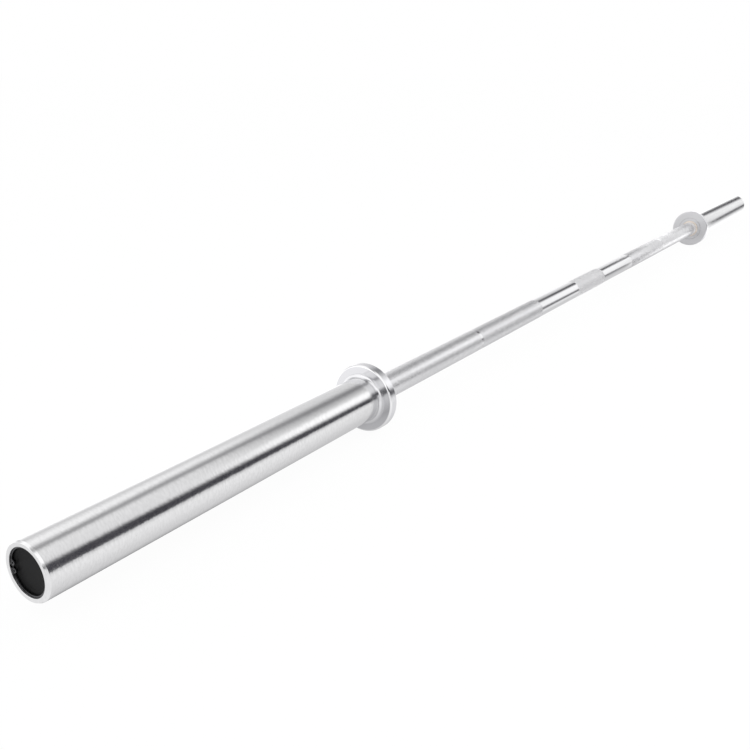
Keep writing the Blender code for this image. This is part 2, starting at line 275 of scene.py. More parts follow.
def knurledSteel(name, look):
    # plated knurl: darker in the grooves than on the tops, and the tops smoother
    mat, net = blank(name)
    where = net.add("TexCoord", None, None, "Object")
    top = ramped(net, offAxis(net, where), *look["topFade"])
    cloud = noise(net, stretched(net, where, look["cloudPerMetre"]), 3.0)
    speck = noise(net, stretched(net, where, look["speckPerMetre"]), 2.0)
    shade = net.add("Clamp", None, {"Value": top * look["topShare"] + cloud * look["cloudShare"]})
    colour = blend(net, shade, look["groove"], look["top"])
    gloss = look["grooveRoughness"] - look["rub"] * top + look["mottle"] * (cloud - 0.5)
    return surfaced(net, mat, speck * look["speckHeight"],
                    {"Base Color": colour, "Metallic": 1.0, "Roughness": gloss})


knurlFinish = {
    "groove": (0.68, 0.68, 0.69), "top": (0.86, 0.86, 0.865),
    "topFade": (0.01428, 0.01446), "topShare": 0.75, "cloudShare": 0.35,
    "grooveRoughness": 0.36, "rub": 0.14, "mottle": 0.10,
    "cloudPerMetre": (70, 140, 140), "speckPerMetre": (2600, 2600, 2600), "speckHeight": 0.004,
}
# the centre band is the same plated knurl, painted paler as a painted highlight, and rougher
centreHighlightFinish = {
    **knurlFinish,
    "groove": (0.93, 0.93, 0.935), "top": (0.98, 0.98, 0.98),
    "grooveRoughness": 0.72, "rub": 0.12,
}


def sinteredBronze(name, look):
    # pressed powder bronze: small pores, oil stained low spots
    mat, net = blank(name)
    where = net.add("TexCoord", None, None, "Object")
    pores = net.add("TexVoronoi", {"feature": "F1"}, {
        "Vector": where, "Scale": look["poresPerMetre"],
    })
    pit = ramped(net, pores, *look["poreEdge"])
    cloud = noise(net, stretched(net, where, look["cloudPerMetre"]), 3.0)
    shade = net.add("Clamp", None, {
        "Value": pit * look["poreShare"] + cloud * look["cloudShare"] - look["stain"],
    })
    colour = blend(net, shade, look["dark"], look["light"])
    gloss = look["roughness"] + look["mottle"] * (cloud - 0.5) + look["poreRough"] * (1 - pit)
    return surfaced(net, mat, pit * look["poreDepth"],
                    {"Base Color": colour, "Metallic": 1.0, "Roughness": gloss})


bronzeFinish = {
    "dark": (0.66, 0.58, 0.50), "light": (0.90, 0.82, 0.74),
    "roughness": 0.33, "mottle": 0.10, "cloudPerMetre": (140, 140, 140),
    "poresPerMetre": 1500, "poreDepth": 0.03, "poreEdge": (0.12, 0.34), "poreRough": 0.2,
    "poreShare": 0.7, "cloudShare": 0.5, "stain": 0.1,
}


def mouldedCap(name, look):
    # black nylon: fine spark texture, a little lighter where it is handled
    mat, net = blank(name)
    where = net.add("TexCoord", None, None, "Object")
    spark = noise(net, stretched(net, where, look["sparkPerMetre"]), 3.0, look["sparkRough"])
    cloud = noise(net, stretched(net, where, look["cloudPerMetre"]), 2.0)
    colour = blend(net, cloud, look["dark"], look["light"])
    gloss = look["roughness"] + look["mottle"] * (cloud - 0.5)
    return surfaced(net, mat, spark * look["sparkHeight"], {
        "Base Color": colour, "Roughness": gloss, "Specular IOR Level": look["specular"],
    })


capFinish = {
    "dark": (0.004, 0.004, 0.0042), "light": (0.007, 0.007, 0.0073),
    "roughness": 0.55, "mottle": 0.12, "specular": 0.12,
    "sparkPerMetre": (2200, 2200, 2200), "sparkRough": 0.6, "sparkHeight": 0.02,
    "cloudPerMetre": (90, 90, 90),
}


# Turned pieces

negligible = 1e-9    # a length or radius below this counts as none
arcSteps = 5    # straight pieces in a rounded corner
facets = {"shaft": 112, "sleeve": 160, "bushing": 112, "cap": 128, "washer": 112}


def meshOf(name, spots, faces, mapped, finish, flatMap="OFBake"):
    mesh = bpy.data.meshes.new(name)
    mesh.from_pydata(spots, [], faces)
    mesh.uv_layers.new(name=flatMap)
    mesh.uv_layers[0].uv.foreach_set("vector", [x for pair in mapped for x in pair])
    mesh.materials.append(finish)
    return mesh


def placed(name, mesh):
    piece = bpy.data.objects.new(name, mesh)
    scene.collection.objects.link(piece)
    return piece


def traced(corners):
    # walks a turned outline of (x, r) or (x, r, rounding) corners and gives its stretches,
    # each as start, start normal, end, end normal; rounded corners become short arcs
    flat = [Vector(c[:2]) for c in corners]
    count = len(corners)
    area = sum(flat[i - 1].cross(flat[i]) for i in range(count))
    if area < 0:
        corners = corners[::-1]
        flat = flat[::-1]
    arcs = []
    for i, corner in enumerate(corners):
        here, size = flat[i], corner[2] if len(corner) > 2 else 0.0
        if not size:
            arcs.append([(here, None)])
            continue
        back = (flat[i - 1] - here).normalized()
        ahead = (flat[(i + 1) % count] - here).normalized()
        half = back.angle(ahead) / 2
        centre = here + (back + ahead).normalized() * (size / math.sin(half))
        start = here + back * (size / math.tan(half)) - centre
        sweep = math.pi - 2 * half
        turn = 1 if (-back).cross(ahead) > 0 else -1
        bend = []
        for step in range(arcSteps + 1):
            a = turn * sweep * step / arcSteps
            arm = Vector((start.x * math.cos(a) - start.y * math.sin(a),
                          start.x * math.sin(a) + start.y * math.cos(a)))
            bend.append((centre + arm, arm.normalized() * turn))
        arcs.append(bend)
    stretches = []
    for i, bend in enumerate(arcs):
        for (a, na), (b, nb) in zip(bend, bend[1:]):
            stretches.append((a, na, b, nb))
        a, b = bend[-1][0], arcs[(i + 1) % count][0][0]
        if (b - a).length > negligible and not (a.y == 0 and b.y == 0):
            way = (b - a).normalized()
            side = Vector((way.y, -way.x))
            stretches.append((a, side, b, side))
    return stretches


def turned(name, corners, finish, segments, place=Matrix.Identity(4)):
    # spins the outline round the X axis, with exact normals and a flat map for the bake
    stretches = traced(corners)
    spots, rings, faces, normals, mapped = [], {}, [], [], []

    def hoop(point):
        key = (round(point.x, 8), round(point.y, 8))
        if key not in rings:
            rings[key] = len(spots)
            for k in range(segments if point.y > negligible else 1):
                a = 2 * math.pi * (k + 0.5) / segments
                spots.append(place @ Vector((point.x, point.y * math.cos(a), point.y * math.sin(a))))
        return rings[key]

    tilt = place.to_3x3()
    length = sum((b - a).length for a, _, b, _ in stretches)
    done = 0.0
    for a, na, b, nb in stretches:
        first, last = hoop(a), hoop(b)
        v0 = done / length
        done += (b - a).length
        v1 = done / length
        for k in range(segments):
            n = (k + 1) % segments
            corner = [(first + k, na, k, v0), (last + k, nb, k, v1),
                      (last + n, nb, k + 1, v1), (first + n, na, k + 1, v0)]
            if a.y <= negligible:
                corner = [(first, na, k + 0.5, v0), corner[1], corner[2]]
            elif b.y <= negligible:
                corner = [corner[0], (last, nb, k + 0.5, v1), corner[3]]
            faces.append([c[0] for c in corner])
            for _, normal, u, v in corner:
                angle = 2 * math.pi * (u + 0.5) / segments
                normals.append(tilt @ Vector((normal.x, normal.y * math.cos(angle),
                                              normal.y * math.sin(angle))))
                mapped.append((u / segments, v))
    mesh = meshOf(name, spots, faces, mapped, finish)
    mesh.shade_smooth()
    mesh.normals_split_custom_set(normals)
    return placed(name, mesh)


def dress(piece, body, node):
    # the piece stands for its solid in the frame
    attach(piece, body)
    if node:
        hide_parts(node)


# Shaft

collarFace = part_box("right_stop_collar")[0].x     # inner face of the stop collar
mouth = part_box("right_sleeve")[1].x - collarFace     # end of the sleeve, from that face

grip = {    # the shaft between the collars
    "radius": 0.0145, "plainRadius": 0.01435, "underKnurl": 0.01410,
    "centreLength": 0.120, "gapSpan": 0.416, "markSpacing": 0.810, "markWidth": 0.005,
    "plainAtCollar": 0.017, "bandEdge": 0.0003, "shoulderRound": 0.0005,
}
journal = {    # its thinner end inside the sleeve
    "radius": 0.0125, "rootRound": 0.0008, "endRound": 0.0012, "endLand": 0.004,
    "capGap": 0.004, "grooveDepth": 0.0011, "grooveLand": 0.0015, "grooveRound": 0.0001,
}
capSeat = {    # the cap's place in the mouth, and the ring that holds it
    "circlipSetback": 0.0016, "circlipThickness": 0.0015, "circlipGroove": 0.001,
    "thickness": 0.004, "seatWidth": 0.0015,
}
stack = {    # bushings, washers and snap rings along the journal
    "bushingWall": 0.0032, "bushingLength": 0.028, "flange": 0.003, "innerReach": 0.0012,
    "outerReach": 0.0024, "thrust": 0.002, "shim": 0.001, "shimSetback": 0.0012,
    "snapRing": 0.002, "leadRound": 0.0008, "tailRound": 0.0007, "edgeRound": 0.0003,
    "washerRound": 0.00015,
}

# places along one end, from the mouth inwards
circlipFront = mouth - capSeat["circlipSetback"]
circlipBack = circlipFront - capSeat["circlipThickness"]
capFront = circlipBack - play
capBack = capFront - capSeat["thickness"]
shaftEnd = capBack - journal["capGap"]
outerSnapFront = shaftEnd - journal["endLand"] - play
outerSnapBack = outerSnapFront - stack["snapRing"]
innerSnapFront = outerSnapBack - journal["grooveLand"] - 2 * play
innerSnapBack = innerSnapFront - stack["snapRing"]
shimFront = innerSnapBack - play
shimBack = shimFront - stack["shim"]
thrustFront = shimBack - play
thrustBack = thrustFront - stack["thrust"]
outerFlangeFront = thrustBack - play
chamberFloor = outerFlangeFront - stack["flange"] - play

# radii inside the sleeve
bushingBore = journal["radius"] + play
bushingRadius = bushingBore + stack["bushingWall"]
sleeveBore = bushingRadius + play
innerFlangeRadius = sleeveBore + stack["innerReach"]
chamberRadius = sleeveBore + stack["outerReach"] + play
mouthRadius = chamberRadius + capSeat["seatWidth"]

markStart = grip["markSpacing"] / 2 - grip["markWidth"] / 2
markEnd = grip["markSpacing"] / 2 + grip["markWidth"] / 2
lastKnurl = collarFace - grip["plainAtCollar"]
knurledBands = {
    "centre_knurl": (-grip["centreLength"] / 2, grip["centreLength"] / 2),
    "inner_knurl": (grip["gapSpan"] / 2, markStart),
    "outer_knurl": (markEnd, lastKnurl),
}


def shaftCore():
    # half of the shaft from the middle out; the knurl sleeves cover its lower bands
    low, plain, edge = grip["underKnurl"], grip["plainRadius"], grip["bandEdge"]
    half = []
    for start, end in knurledBands.values():
        if start > 0:
            half += [(start, plain, edge / 2), (start + edge, low)]
        half += [(end - edge, low), (end, plain, edge / 2)]
    shoulder = collarFace - play
    bar, groove = journal["radius"], journal["radius"] - journal["grooveDepth"]
    half += [(shoulder, plain, grip["shoulderRound"]), (shoulder, bar, journal["rootRound"])]
    for back, front in ((innerSnapBack, innerSnapFront), (outerSnapBack, outerSnapFront)):
        start, end = collarFace + back - play, collarFace + front + play
        small = journal["grooveRound"]
        half += [(start, bar, small), (start, groove, small),
                 (end, groove, small), (end, bar, small)]
    tip = collarFace + shaftEnd
    half += [(tip, bar, journal["endRound"]), (tip, 0.0)]
    mirrored = [(-c[0], *c[1:]) for c in reversed(half)]
    return mirrored + half


print("finishes")
shaftChrome = platedMetal("polished_shaft", finishes["shaft"])
sleeveChrome = platedMetal("turned_sleeve_chrome", finishes["sleeve"])
collarChrome = platedMetal("bright_collar_chrome", finishes["collar"])
washerSteel = platedMetal("ground_washer_steel", finishes["washer"])
springSteel = platedMetal("oiled_spring_steel", finishes["spring"])
knurlSteel = knurledSteel("plated_knurl", knurlFinish)
# the centre band's paler colour is a painted highlight
centreHighlightSteel = knurledSteel("plated_centre_knurl_painted_paler", centreHighlightFinish)
bronze = sinteredBronze("sintered_bronze", bronzeFinish)
capNylon = mouldedCap("black_nylon", capFinish)

print("shaft")
core = turned("shaft_core", shaftCore(), shaftChrome, facets["shaft"])
dress(core, "root", "shaft")


# Knurling

knurl = {
    "starts": 56,      # grooves of each hand
    "helix": math.radians(30),
    "flats": {"centre_knurl": 0.20, "inner_knurl": 0.28, "outer_knurl": 0.42},
    "roots": {"centre_knurl": 0.01424, "inner_knurl": 0.01431, "outer_knurl": 0.01437},
}


def knurledBand(name, start, end, flat, root, finish):
    # diamonds left standing between two sets of crossing grooves: a lattice of groove
    # crossings, and on each diamond a small flat with four flanks
    columns = 2 * knurl["starts"]
    step = math.pi * grip["radius"] / knurl["starts"] / math.tan(knurl["helix"])
    rows = round((end - start) / step)
    step = (end - start) / rows
    spots, faces, mapped = [], [], []
    tip = grip["radius"]

    def spot(row, column, radius):
        angle = math.pi * column / knurl["starts"]
        spots.append((start + row * step, radius * math.cos(angle), radius * math.sin(angle)))
        return len(spots) - 1

    def lay(face, places):
        faces.append(face)
        mapped.extend((row / rows, column / columns) for row, column in places)

    crossings = {}
    for row in range(rows + 1):
        for column in range(row % 2, columns, 2):
            crossings[row, column] = spot(row, column, root)

    def crossing(row, column):
        return crossings[row, column % columns]

    for row in range(rows + 1):
        for column in range(1 - row % 2, columns, 2):
            around = [(row - 1, column), (row, column - 1), (row + 1, column), (row, column + 1)]
            if row in (0, rows):     # the half diamond at a band's end is cut away
                ends = [p for p in around if 0 <= p[0] <= rows]
                lay([crossing(*p) for p in ends], ends)
                continue
            tops = [(row + flat * (r - row), column + flat * (c - column)) for r, c in around]
            top = [spot(*p, tip) for p in tops]
            lay(top, tops)
            for i in range(4):
                j = (i + 1) % 4
                lay([crossing(*around[i]), crossing(*around[j]), top[j], top[i]],
                    [around[i], around[j], tops[j], tops[i]])
    mesh = meshOf(name, spots, faces, mapped, finish)
    mesh.shade_smooth()
    grooves = set(crossings.values())
    for edge in mesh.edges:
        edge.use_edge_sharp = edge.vertices[0] in grooves and edge.vertices[1] in grooves
    return placed(name, mesh)


print("knurling")
for band, (start, end) in knurledBands.items():
    flat, root = knurl["flats"][band], knurl["roots"][band]
    inset = grip["bandEdge"] / 2
    if start < 0:
        piece = knurledBand(band, start + inset, end - inset, flat, root, centreHighlightSteel)
        dress(piece, "root", None)
        continue
    for side, low, high in (("left", -end, -start), ("right", start, end)):
        piece = knurledBand(f"{side}_{band}", low + inset, high - inset, flat, root,
                            knurlSteel)
        dress(piece, "root", None)


# Sleeve and what turns with it

sleeve = {
    "radius": 0.025, "spigotStep": 0.0015, "stepRound": 0.00015, "bevelDepth": 0.0011,
    "bevelLength": 0.0022, "bevelRound": 0.0006, "lipRound": 0.0004, "innerRound": 0.00045,
    "grooveRound": 0.0001,
}
collar = {
    "radius": 0.03825, "thickness": 0.012, "edgeRound": 0.002, "boreRound": 0.00015,
    "hubRise": 0.0016, "hubFillet": 0.0032, "hubLand": 0.0005, "hubRound": 0.0002,
    "hubRootRound": 0.0003, "filletShare": 0.999,    # just under 1 keeps the fillet's ends apart
}
hubRadius = sleeve["radius"] + collar["hubFillet"] + collar["hubLand"]
hubFace = collar["thickness"] + collar["hubRise"]
hubEnd = hubFace + collar["hubFillet"]
spigot = sleeve["radius"] - sleeve["spigotStep"]


def sleeveOutline():
    outer, lip = sleeve["radius"], sleeve["radius"] - sleeve["bevelDepth"]
    groove, tiny = mouthRadius + capSeat["circlipGroove"], sleeve["grooveRound"]
    recess, flange = stack["flange"] + play, innerFlangeRadius + play
    return [
        (0.0, spigot, sleeve["stepRound"]),
        (hubEnd + play, spigot),
        (hubEnd + play, outer, sleeve["stepRound"]),
        (mouth - sleeve["bevelLength"], outer, sleeve["bevelRound"]),
        (mouth, lip, sleeve["lipRound"]),
        (mouth, mouthRadius, sleeve["innerRound"]),
        (circlipFront + play, mouthRadius, tiny),
        (circlipFront + play, groove, tiny),
        (circlipBack - play, groove, tiny),
        (circlipBack - play, mouthRadius, tiny),
        (capBack - play, mouthRadius),
        (capBack - play, chamberRadius, tiny),
        (chamberFloor, chamberRadius),
        (chamberFloor, sleeveBore, tiny),
        (recess, sleeveBore, tiny),
        (recess, flange),
        (0.0, flange, tiny),
    ]


def collarOutline():
    bore = spigot + play
    edge = collar["edgeRound"]
    return [
        (0.0, bore, collar["boreRound"]),
        (0.0, collar["radius"], edge),
        (collar["thickness"], collar["radius"], edge),
        (collar["thickness"], hubRadius, collar["hubRootRound"]),
        (hubFace, hubRadius, collar["hubRound"]),
        (hubFace, sleeve["radius"], collar["hubFillet"] * collar["filletShare"]),
        (hubEnd, sleeve["radius"]),
        (hubEnd, bore),
    ]


def bushingOutline(flangeRadius, flangeStart, direction):
    bodyStart = flangeStart + direction * stack["flange"]
    bodyEnd = bodyStart + direction * stack["bushingLength"]
    edge = stack["edgeRound"]
    return [
        (flangeStart, bushingBore, stack["leadRound"]),
        (flangeStart, flangeRadius, edge),
        (bodyStart, flangeRadius, edge),
        (bodyStart, bushingRadius, edge),
        (bodyEnd, bushingRadius, stack["tailRound"]),
        (bodyEnd, bushingBore, edge),
    ]


cap = {
    "edgeRound": 0.0006, "backRound": 0.0003,
    "rim": 0.0035, "dish": 0.0006, "dishSlope": 0.0009, "dishRound": 0.0004,
}


def capOutline():
    edge = mouthRadius - play
    dish = edge - cap["rim"]
    return [
        (capBack, 0.0),
        (capBack, edge, cap["backRound"]),
        (capFront, edge, cap["edgeRound"]),
        (capFront, dish, cap["dishRound"]),
        (capFront - cap["dish"], dish - cap["dishSlope"], cap["dishRound"]),
        (capFront - cap["dish"], 0.0),
    ]


def washerOutline(back, front, radius):
    small = stack["washerRound"]
    return [(back, bushingBore, small), (back, radius, small),
            (front, radius, small), (front, bushingBore, small)]


# Retaining rings: stamped from strip, thick at the back and thin at the two lugs

ring = {
    "lugRadius": 0.0021, "holeRadius": 0.00085, "lugReach": 0.0029, "gap": 0.0024,
    "snapWidths": (0.0034, 0.0022), "circlipWidths": (0.0026, 0.0017),
    "stampedRound": 0.00018, "stampedSteps": 2, "stampedAngle": math.radians(45),
    "sharpAngle": math.radians(40), "steps": 90, "lugSteps": 18,
    "holeSteps": 24, "drillDepth": 3,    # in thicknesses of the ring
    "circlipTurn": math.radians(185), "snapTurns": (math.radians(90), math.radians(-90)),
}


def ringEdge(seat, widths, outward):
    # the free edge as (radius, angle) from one side of the gap to the other, and the lugs
    sign = 1 if outward else -1
    wide, narrow = widths
    bend = seat + sign * (wide + narrow) / 2
    shift = -sign * (wide - narrow) / 2
    lugCentre = seat + sign * ring["lugReach"]
    swing = math.asin(ring["lugRadius"] / lugCentre)
    lugAngle = math.asin(ring["gap"] / 2 / lugCentre) + swing
    lugEnd = lugAngle + swing
    near = [lugAngle - swing + 2 * swing * i / ring["lugSteps"] for i in range(ring["lugSteps"])]
    back = [lugEnd + 2 * (math.pi - lugEnd) * i / ring["steps"] for i in range(ring["steps"] + 1)]
    far = [2 * math.pi - a for a in reversed(near)]
    edge = []
    for a in near + back + far:
        r = shift * math.cos(a) + math.sqrt(bend**2 - (shift * math.sin(a)) ** 2)
        for lug in (lugAngle, -lugAngle):
            off = lugCentre * math.sin(a - lug)
            if abs(off) < ring["lugRadius"] and math.cos(a - lug) > 0:
                chord = math.sqrt(ring["lugRadius"] ** 2 - off**2)
                reach = lugCentre * math.cos(a - lug) + sign * chord
                r = max(r, reach) if outward else min(r, reach)
        edge.append((r, a))
    return edge, lugCentre, lugAngle


def retainingRing(name, seat, widths, outward, thickness, back, turn, place):
    edge, lugCentre, lugAngle = ringEdge(seat, widths, outward)
    bm = bmesh.new()
    rungs = []
    for r, a in edge:
        rungs.append([bm.verts.new((0.0, q * math.cos(a), q * math.sin(a))) for q in (seat, r)])
    strip = [bm.faces.new((a[0], a[1], b[1], b[0])) for a, b in zip(rungs, rungs[1:])]
    lifted = bmesh.ops.extrude_face_region(bm, geom=strip)["geom"]
    bmesh.ops.translate(bm, verts=[v for v in lifted if isinstance(v, bmesh.types.BMVert)],
                        vec=(thickness, 0.0, 0.0))
    bmesh.ops.recalc_face_normals(bm, faces=bm.faces)
    mesh = bpy.data.meshes.new(name)
    bm.to_mesh(mesh)
    bm.free()
    piece = placed(name, mesh)
    piece.matrix_world = place @ Matrix.Translation((back, 0, 0)) @ Matrix.Rotation(turn, 4, "X")

    drills = bmesh.new()
    for a in (lugAngle, -lugAngle):
        middle = Vector((thickness / 2, lugCentre * math.cos(a), lugCentre * math.sin(a)))
        bmesh.ops.create_cone(
            drills, cap_ends=True, segments=ring["holeSteps"], radius1=ring["holeRadius"],
            radius2=ring["holeRadius"], depth=ring["drillDepth"] * thickness,
            matrix=Matrix.Translation(middle) @ Matrix.Rotation(math.pi / 2, 4, "Y"))
    drillMesh = bpy.data.meshes.new(name + "_drills")
    drills.to_mesh(drillMesh)
    drills.free()
    drill = placed(name + "_drills", drillMesh)
    drill.matrix_world = piece.matrix_world

    holes = piece.modifiers.new("plier holes", "BOOLEAN")
    holes.object = drill
    holes.solver = "EXACT"
    stamped = piece.modifiers.new("stamped edges", "BEVEL")
    stamped.width = ring["stampedRound"]
    stamped.segments = ring["stampedSteps"]
    stamped.limit_method = "ANGLE"
    stamped.angle_limit = ring["stampedAngle"]
    bpy.context.view_layer.update()
    seen = piece.evaluated_get(bpy.context.evaluated_depsgraph_get())
    solid = bpy.data.meshes.new_from_object(seen)
    solid.transform(piece.matrix_world)
    piece.modifiers.clear()
    piece.data = solid
    piece.matrix_world = Matrix.Identity(4)
    solid.shade_smooth()
    solid.set_sharp_from_angle(angle=ring["sharpAngle"])
    solid.materials.clear()
    solid.materials.append(springSteel)
    bpy.data.objects.remove(drill)
    return piece


snapSeat = journal["radius"] - journal["grooveDepth"] + play
circlipSeat = mouthRadius + capSeat["circlipGroove"] - play

for side, direction in (("left", -1), ("right", 1)):
    print(side, "end")
    place = Matrix.Translation((direction * collarFace, 0, 0))
    place = place @ Matrix.Rotation(0 if direction > 0 else math.pi, 4, "Z")
    body = f"{side}_sleeve_assembly"
    turning = [
        ("sleeve", "sleeve_tube", "sleeve_chrome", sleeveOutline(), sleeveChrome, "sleeve"),
        ("stop_collar", "stop_ring", "collar_chrome", collarOutline(), collarChrome, "sleeve"),
        ("inner_bushing", "inner_bush", "bushing_bronze",
         bushingOutline(innerFlangeRadius, 0.0, 1), bronze, "bushing"),
        ("outer_bushing", "outer_bush", "bushing_bronze",
         bushingOutline(chamberRadius - play, outerFlangeFront, -1), bronze, "bushing"),
        ("end_cap", "cap_disc", "cap_black", capOutline(), capNylon, "cap"),
    ]
    for node, shown, slot, outline, finish, kind in turning:
        piece = turned(f"{side}_{shown}", outline, finish, facets[kind], place)
        dress(piece, body, f"{side}_{node}")
    piece = retainingRing(f"{side}_cap_ring", circlipSeat, ring["circlipWidths"], False,
                          capSeat["circlipThickness"], circlipBack, ring["circlipTurn"], place)
    dress(piece, body, f"{side}_cap_circlip")
    washers = [
        ("thrust_washer", "thrust_disc", thrustBack, thrustFront, chamberRadius - play),
        ("shim_washer", "shim_disc", shimBack, shimFront, chamberRadius - stack["shimSetback"]),
    ]
    for node, shown, back, front, radius in washers:
        piece = turned(f"{side}_{shown}", washerOutline(back, front, radius), washerSteel,
                       facets["washer"], place)
        dress(piece, "root", f"{side}_{node}")
    for which, back, turn in (("inner", innerSnapBack, ring["snapTurns"][0]),
                              ("outer", outerSnapBack, ring["snapTurns"][1])):
        piece = retainingRing(f"{side}_{which}_snap", snapSeat, ring["snapWidths"], True,
                              stack["snapRing"], back, turn, place)
        dress(piece, "root", f"{side}_{which}_snap_ring")


# Studio: a white room and floor, and soft cards that only the metal's reflections see

room = {
    "light": 1.0,
    "floorWhite": (0.97, 0.97, 0.97), "floorGlow": 1.0, "floorGlowShare": 0.95,
    "floorSize": 80.0, "floorGap": 0.0002,
    "haze": 0.011, "hazeColour": (1.0, 0.85, 1.75),    # a trace of violet in every card
}


def studioRoom():
    world = bpy.data.worlds.new("white_room")
    scene.world = world
    world.use_nodes = True
    world.node_tree.nodes.clear()
    world.cycles.sampling_method = "NONE"
    net = Wire(world.node_tree)
    white = {"Color": (1, 1, 1, 1), "Strength": room["light"]}
    net.add("OutputWorld", None, {"Surface": net.add("Background", None, white)})


def flatStrip(half, back, front, low):
    # a level sheet; its flat map runs along the bar and across it
    spots = [(-half, back, low), (half, back, low), (half, front, low), (-half, front, low)]
    return spots, [(0, 1, 2, 3)], [(0, 0), (1, 0), (1, 1), (0, 1)]


def bentStrip(start, end, radius, low, first, last, steps):
    # a sheet bent round the bar from the first angle to the last, in degrees
    spots, faces, mapped = [], [], []
    for i in range(steps + 1):
        angle = math.radians(first + (last - first) * i / steps)
        y, z = -radius * math.cos(angle), radius * math.sin(angle) + low
        spots += [(start, y, z), (end, y, z)]
    for i in range(steps):
        faces.append((2 * i, 2 * i + 1, 2 * i + 3, 2 * i + 2))
        mapped += [(0, i / steps), (1, i / steps), (1, (i + 1) / steps), (0, (i + 1) / steps)]
    return spots, faces, mapped


def studioFloor(low):
    # shows white to the eye and in the metal, and keeps part of the bar's shadow
    half = room["floorSize"] / 2
    mat, net = blank("white_floor")
    seen, glossy, through = [net.add("LightPath", None, None, f"Is {kind} Ray")
                             for kind in ("Camera", "Glossy", "Transmission")]
    lit = net.add("BsdfDiffuse", None, {"Color": (*room["floorWhite"], 1)})
    glow = net.add("Emission", None, {"Color": (1, 1, 1, 1), "Strength": room["floorGlow"]})
    share = (seen | glossy | through) * room["floorGlowShare"]
    finishOff(net, mat, net.add("MixShader", None, {0: share, 1: lit, 2: glow}))
    mat.cycles.emission_sampling = "NONE"
    floor = placed("floor", meshOf("floor", *flatStrip(half, -half, half, low), mat))
    floor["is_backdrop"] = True


def levelRamp(net, place, levels, low, high):
    stops = [((at - low) / (high - low), (level, level, level, 1)) for at, level in levels]
    return net.add("ValToRGB", {"stops": stops}, {"Fac": place})


def lightOf(net, levels):
    hazy = blend(net, room["haze"], levels, room["hazeColour"])
    return net.add("Emission", None, {"Color": hazy, "Strength": 1.0})


def onlyWithin(net, along, run):
    # 0 outside the run, 1 from its second place to its third
    start, full, fading, end = run
    return eased(net, along, start, full) * (1 - eased(net, along, fading, end))


def reflectedOnly(name, strip, net, mat, shader):
    finishOff(net, mat, shader)
    mat.cycles.emission_sampling = "NONE"
    card = placed(name, meshOf(name, *strip, mat, "across"))
    card.visible_camera = False
    card.visible_diffuse = False
    card.visible_shadow = False
    card.visible_transmission = False
    card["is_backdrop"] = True


def cardPlaces(net):
    # metres along the bar, and the share of the way across the card
    along = net.add("SeparateXYZ", None, {0: net.add("TexCoord", None, None, "Object")}, "X")
    across = net.add("SeparateXYZ", None, {0: net.add("UVMap", {"uv_map": "across"})}, "Y")
    return along, across


tunnel = {
    "radius": 1.6, "halfLength": 16.0, "steps": 60,
    # levels by angle, from the camera's side over the top to the far side, at eleven places
    # along the tunnel; the changes say where each one starts to show and is full
    "behind": [(0, 1.4), (40, 1.3), (62, 1.1), (84, 0.78), (96, 0.75), (110, 0.95), (128, 1.2),
               (150, 1.4), (180, 1.4)],
    "before": [(0, 0.9), (20, 1.0), (45, 1.3), (80, 1.2), (89, 0.5), (98, 0.5), (108, 1.2),
               (150, 1.35), (180, 1.15)],
    "near": [(0, 0.9), (40, 0.86), (60, 0.90), (74, 0.93), (83, 0.80), (90, 0.38),
             (98, 0.38), (106, 0.78), (114, 1.07), (128, 1.08), (140, 0.90), (152, 0.72),
             (160, 0.76), (168, 0.95), (176, 1.25), (180, 1.3)],
    "beside": [(0, 0.9), (40, 0.86), (60, 0.90), (78, 0.90), (87, 0.76), (94, 0.40),
               (102, 0.38), (110, 0.72), (118, 1.0), (128, 1.06), (140, 0.90), (152, 0.72),
               (160, 0.76), (168, 0.95), (176, 1.25), (180, 1.3)],
    "waist": [(0, 1.0), (16, 0.98), (28, 1.12), (40, 1.32), (50, 1.20), (58, 0.82), (68, 0.64),
              (78, 0.50), (88, 0.31), (96, 0.25), (104, 0.38), (114, 0.62), (124, 0.78),
              (150, 0.82), (168, 0.86), (180, 1.1)],
    "middle": [(0, 1.08), (30, 1.24), (60, 1.29), (68, 1.12), (76, 0.72), (86, 0.22),
               (96, 0.14), (106, 0.25), (116, 0.42), (128, 0.51), (140, 0.57), (155, 0.72),
               (180, 1.05)],
    "late": [(0, 0.96), (30, 1.02), (60, 1.04), (68, 0.92), (76, 0.64), (86, 0.26), (96, 0.18),
             (106, 0.31), (116, 0.50), (128, 0.61), (140, 0.68), (155, 0.85), (180, 1.2)],
    "centre": [(0, 1.0), (30, 1.16), (60, 1.18), (68, 0.98), (76, 0.52), (86, 0.09),
               (96, 0.06), (106, 0.31), (116, 0.66), (128, 0.82), (140, 0.90), (155, 1.0),
               (180, 1.15)],
    "bright": [(0, 0.80), (16, 0.54), (30, 0.48), (45, 0.52), (60, 0.84), (74, 2.1), (90, 3.1),
               (110, 3.3), (140, 2.9), (180, 2.3)],
    "clear": [(0, 0.80), (16, 0.60), (30, 0.55), (45, 0.58), (60, 0.76), (74, 1.25), (90, 1.85),
              (110, 2.1), (140, 1.9), (180, 1.6)],
    "far": [(0, 0.8), (14, 1.0), (30, 1.08), (60, 1.1), (74, 1.15), (90, 1.3), (180, 1.3)],
    "changes": [("before", -3.4, -3.0), ("near", -1.3, -1.0), ("beside", -0.1, 0.2),
                ("waist", 0.25, 0.88), ("middle", 1.15, 1.8), ("late", 2.1, 2.5),
                ("centre", 2.8, 3.1), ("bright", 4.55, 4.76), ("clear", 4.95, 5.25),
                ("far", 5.6, 6.0)],
}
